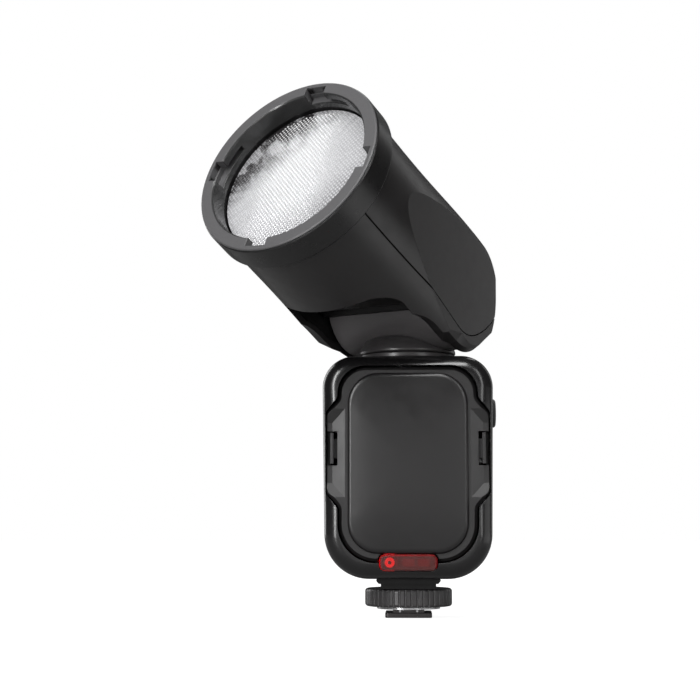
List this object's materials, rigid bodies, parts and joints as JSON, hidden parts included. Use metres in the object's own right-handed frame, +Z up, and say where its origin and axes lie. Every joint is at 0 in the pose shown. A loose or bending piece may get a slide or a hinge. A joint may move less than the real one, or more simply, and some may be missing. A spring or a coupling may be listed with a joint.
{
  "type": "speedlight flash",
  "caption": "Battery speedlight flash with a round tilting and swivelling head, motor zoom, bayonet ring, red focus lamp and a locking accessory-shoe foot.",
  "frame": {"origin": "centre of the bottom face of the accessory-shoe foot", "axes": "+Z up through the body and the neck's swivel axis, -Y out of the battery side of the body, +X to the right when that side is seen"},
  "size_m": [0.114, 0.1315, 0.2017],
  "materials": {
    "frame_black": "satin black moulded frame",
    "shell_charcoal": "fine textured charcoal",
    "panel_charcoal": "fine textured charcoal",
    "pack_black": "satin black",
    "collar_black": "satin black",
    "ring_grey": "satin grey paint",
    "sleeve_charcoal": "satin charcoal",
    "lens_clear": "prismatic clear lens",
    "window_red": "dark red tinted window",
    "led_red": "red lamp",
    "rubber_black": "matt rubber",
    "wheel_charcoal": "satin ribbed wheel",
    "foot_metal": "dark plated steel",
    "contact_gold": "gold plated contacts",
    "steel": "turned steel",
    "aluminium": "die cast",
    "board_green": "circuit board",
    "capacitor_sleeve": "shrink sleeve",
    "cell_wrap": "shrink wrapped cell",
    "ferrite": "wound transformer",
    "nylon_black": "moulded nylon",
    "reflector_chrome": "bright reflector",
    "tube_glass": "flash tube",
    "led_yellow": "modelling lamp",
    "display_black": "cover glass",
    "display_panel": "display module",
    "key_grey": "satin key",
    "magnet": "nickel plated magnet",
    "white_nylon": "bearing nylon"
  },
  "bodies": {
    "body": {"front_frame": "frame_black", "rear_cover": "shell_charcoal", "display_glass": "display_black", "display_module": "display_panel", "button_pad": "rubber_black", "control_board": "board_green", "main_board": "board_green", "main_capacitor": "capacitor_sleeve", "charge_transformer": "ferrite", "usb_socket": "steel", "sync_jack": "steel", "battery_bay": "nylon_black", "bay_contacts": "contact_gold", "focus_window": "window_red", "focus_leds": "led_red", "pedestal": "nylon_black", "shoe_foot": "foot_metal", "contact_carrier": "nylon_black", "hot_contacts": "contact_gold", "case_screws": "steel"},
    "battery": {"battery_panel": "panel_charcoal", "battery_case": "pack_black", "battery_cells": "cell_wrap", "battery_terminals": "contact_gold", "latch_springs": "steel"},
    "latch_right": {"latch_right": "key_grey"},
    "latch_left": {"latch_left": "key_grey"},
    "lock_wheel": {"lock_wheel": "wheel_charcoal"},
    "clamp_plate": {"clamp_plate": "steel"},
    "lock_pin": {"lock_pin": "steel"},
    "control_dial": {"control_dial": "wheel_charcoal"},
    "set_button": {"set_button": "key_grey"},
    "mode_button": {"mode_button": "key_grey"},
    "group_button": {"group_button": "key_grey"},
    "test_button": {"test_button": "key_grey"},
    "power_button": {"power_button": "key_grey"},
    "port_cover": {"port_cover": "rubber_black"},
    "yoke": {"collar_ring": "collar_black", "neck_collar": "collar_black", "tilt_drum": "shell_charcoal", "tilt_shaft": "steel", "yoke_frame": "aluminium", "swivel_nut": "steel", "detent_disc": "steel"},
    "head": {"head_upper_shell": "shell_charcoal", "head_lower_shell": "shell_charcoal", "neck_well": "nylon_black", "tilt_hubs": "white_nylon", "ring_sleeve": "sleeve_charcoal", "bayonet_ring": "ring_grey", "ring_magnets": "magnet", "front_lens": "lens_clear", "zoom_rails": "steel", "zoom_motor": "aluminium"},
    "lead_screw": {"lead_screw": "steel"},
    "zoom_unit": {"zoom_carriage": "nylon_black", "reflector": "reflector_chrome", "lamp_housing": "nylon_black", "flash_tube": "tube_glass", "modelling_led": "led_yellow"}
  },
  "joints": [
    {"name": "head_swivel", "type": "hinge", "parent": "body", "child": "yoke", "pos_m": [0, 0, 0.11], "axis": [0, 0, 1], "range_deg": [-133.5, 196.5]},
    {"name": "head_tilt", "type": "hinge", "parent": "yoke", "child": "head", "pos_m": [0, 0, 0.1276], "axis": [-0.8526, 0.5225, 0], "range_deg": [-25.4, 94.6]},
    {"name": "battery_slide", "type": "slide", "parent": "body", "child": "battery", "axis": [0, -1, 0], "range_m": [0, 0.034]},
    {"name": "latch_right_press", "type": "slide", "parent": "battery", "child": "latch_right", "axis": [-1, 0, 0], "range_m": [0, 0.0012], "stiffness_N_per_m": 500, "springref_m": -0.001},
    {"name": "latch_left_press", "type": "slide", "parent": "battery", "child": "latch_left", "axis": [1, 0, 0], "range_m": [0, 0.0012], "stiffness_N_per_m": 500, "springref_m": -0.001},
    {"name": "lock_wheel_turn", "type": "hinge", "parent": "body", "child": "lock_wheel", "pos_m": [0, 0, 0.008], "axis": [0, 0, -1], "range_deg": [0, 300]},
    {"name": "clamp_travel", "type": "slide", "parent": "body", "child": "clamp_plate", "axis": [0, 0, -1], "range_m": [0, 0.0011]},
    {"name": "lock_pin_travel", "type": "slide", "parent": "body", "child": "lock_pin", "axis": [0, 0, -1], "range_m": [0, 0.0015]},
    {"name": "dial_turn", "type": "hinge", "parent": "body", "child": "control_dial", "pos_m": [0, 0.028, 0.042], "axis": [0, -1, 0], "continuous": true},
    {"name": "port_cover_open", "type": "hinge", "parent": "body", "child": "port_cover", "pos_m": [0.0327, 0.0016, 0.03], "axis": [0, 1, 0], "range_deg": [0, 110]},
    {"name": "lead_screw_turn", "type": "hinge", "parent": "head", "child": "lead_screw", "pos_m": [-0.01683, -0.02747, 0.17633], "axis": [-0.472, -0.7702, 0.4289], "range_deg": [-3960, 0]},
    {"name": "zoom_travel", "type": "slide", "parent": "head", "child": "zoom_unit", "axis": [-0.472, -0.7702, 0.4289], "range_m": [-0.022, 0]},
    {"name": "set_button_press", "type": "slide", "parent": "body", "child": "set_button", "axis": [0, -1, 0], "range_m": [0, 0.0008], "stiffness_N_per_m": 450, "springref_m": -0.001},
    {"name": "mode_button_press", "type": "slide", "parent": "body", "child": "mode_button", "axis": [0, -1, 0], "range_m": [0, 0.0008], "stiffness_N_per_m": 450, "springref_m": -0.001},
    {"name": "group_button_press", "type": "slide", "parent": "body", "child": "group_button", "axis": [0, -1, 0], "range_m": [0, 0.0008], "stiffness_N_per_m": 450, "springref_m": -0.001},
    {"name": "test_button_press", "type": "slide", "parent": "body", "child": "test_button", "axis": [0, -1, 0], "range_m": [0, 0.0008], "stiffness_N_per_m": 450, "springref_m": -0.001},
    {"name": "power_button_press", "type": "slide", "parent": "body", "child": "power_button", "axis": [0, -1, 0], "range_m": [0, 0.0008], "stiffness_N_per_m": 450, "springref_m": -0.001}
  ],
  "couplings": [
    {"joint": "clamp_travel", "follows": "lock_wheel_turn", "m_per_rad": 0.00021008},
    {"joint": "lock_pin_travel", "follows": "lock_wheel_turn", "m_per_rad": 0.00028648},
    {"joint": "lead_screw_turn", "follows": "zoom_travel", "rad_per_m": 3141.6}
  ]
}
